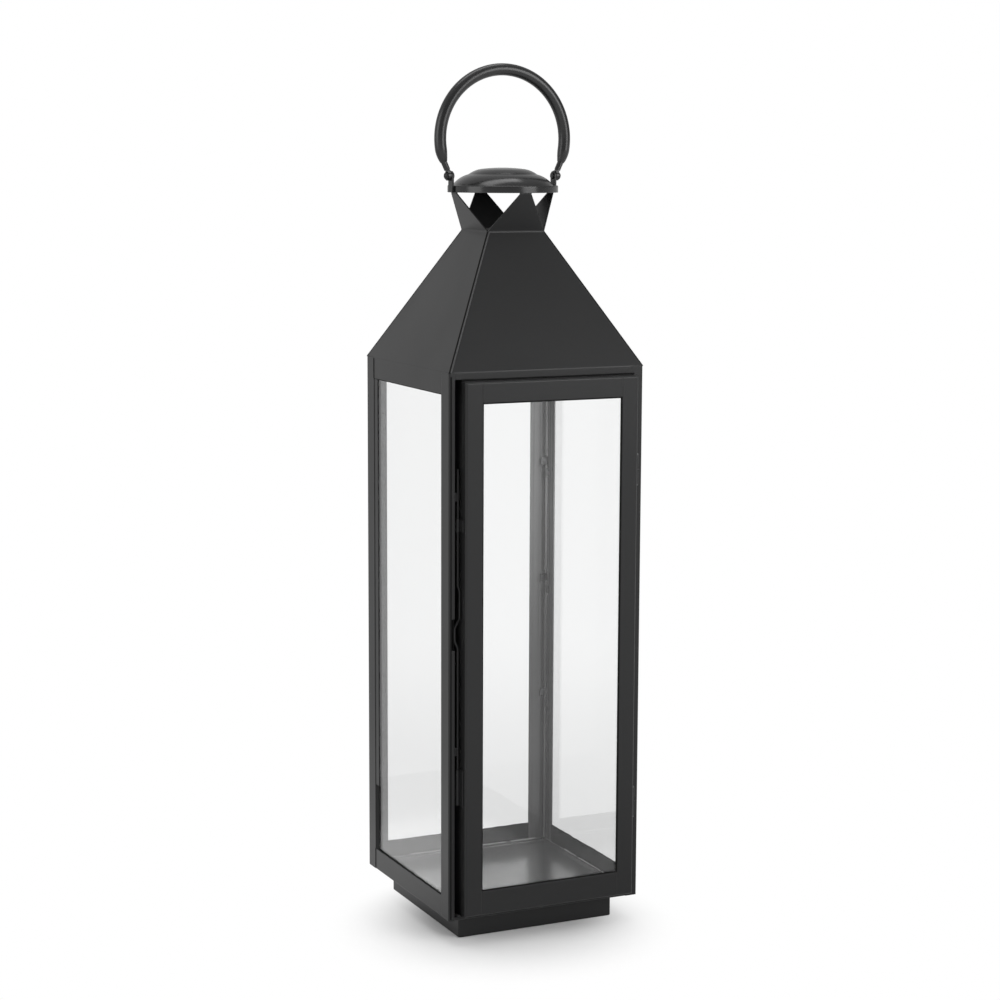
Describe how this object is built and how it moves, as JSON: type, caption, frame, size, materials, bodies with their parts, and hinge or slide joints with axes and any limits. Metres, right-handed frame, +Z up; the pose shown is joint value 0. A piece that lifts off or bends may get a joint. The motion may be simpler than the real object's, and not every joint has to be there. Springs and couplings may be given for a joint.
{
  "type": "candle lantern",
  "caption": "Tall square candle lantern with a hinged glass door, glass sides, a pyramid roof with a vented crown and round cap, and a swinging ring handle.",
  "frame": {"origin": "centre of the foot's flat underside", "axes": "+Z up, the door faces -Y, +X to the right seen from the door (hinges at +X, latch at -X)"},
  "size_m": [0.2, 0.2095, 0.8236],
  "materials": {
    "black_paint": "satin black powder coat on steel sheet",
    "handle_paint": "smooth semi-gloss black paint on steel",
    "clip_steel": "black painted spring clips",
    "pin_steel": "plain steel pins",
    "glazing_strip": "black glazing strip",
    "glass": "clear float glass"
  },
  "bodies": {
    "frame": {"bottom_rail_back": "black_paint", "bottom_rail_left": "black_paint", "bottom_rail_right": "black_paint", "door_stop": "black_paint", "floor_tray": "black_paint", "front_sill": "black_paint", "glass_back": "glass", "glass_clips_back": "clip_steel", "glass_clips_left": "clip_steel", "glass_clips_right": "clip_steel", "glass_left": "glass", "glass_right": "glass", "handle_lug_left": "black_paint", "handle_lug_right": "black_paint", "handle_rivet_left": "black_paint", "handle_rivet_right": "black_paint", "hinge_lower_pin": "pin_steel", "hinge_lower_post_barrel": "black_paint", "hinge_upper_pin": "pin_steel", "hinge_upper_post_barrel": "black_paint", "plinth_pan": "black_paint", "post_back_left": "black_paint", "post_back_right": "black_paint", "post_front_left": "black_paint", "post_front_right": "black_paint", "roof_panel_back": "black_paint", "roof_panel_front": "black_paint", "roof_panel_left": "black_paint", "roof_panel_right": "black_paint", "vent_cap": "black_paint"},
    "door": {"door_bead_bottom": "glazing_strip", "door_bead_left": "glazing_strip", "door_bead_right": "glazing_strip", "door_bead_top": "glazing_strip", "door_glass": "glass", "door_rail_bottom": "black_paint", "door_rail_top": "black_paint", "door_stile_left": "black_paint", "door_stile_right": "black_paint", "hinge_lower_door_barrel": "black_paint", "hinge_upper_door_barrel": "black_paint", "latch_guide_lower": "black_paint", "latch_guide_upper": "black_paint"},
    "handle": {"handle_bail": "handle_paint", "handle_grip": "handle_paint"},
    "latch": {"latch_rod": "black_paint"}
  },
  "joints": [
    {"name": "door_hinge", "type": "hinge", "parent": "frame", "child": "door", "pos_m": [0.0929, -0.1023, 0.2813], "axis": [0, 0, 1], "range_deg": [0, 110]},
    {"name": "handle_swing", "type": "hinge", "parent": "frame", "child": "handle", "pos_m": [0, 0, 0.7181], "axis": [1, 0, 0], "range_deg": [-140, 140]},
    {"name": "latch_turn", "type": "hinge", "parent": "door", "child": "latch", "pos_m": [-0.0902, -0.098, 0.2952], "axis": [0, 0, 1], "range_deg": [-70, 0]}
  ]
}
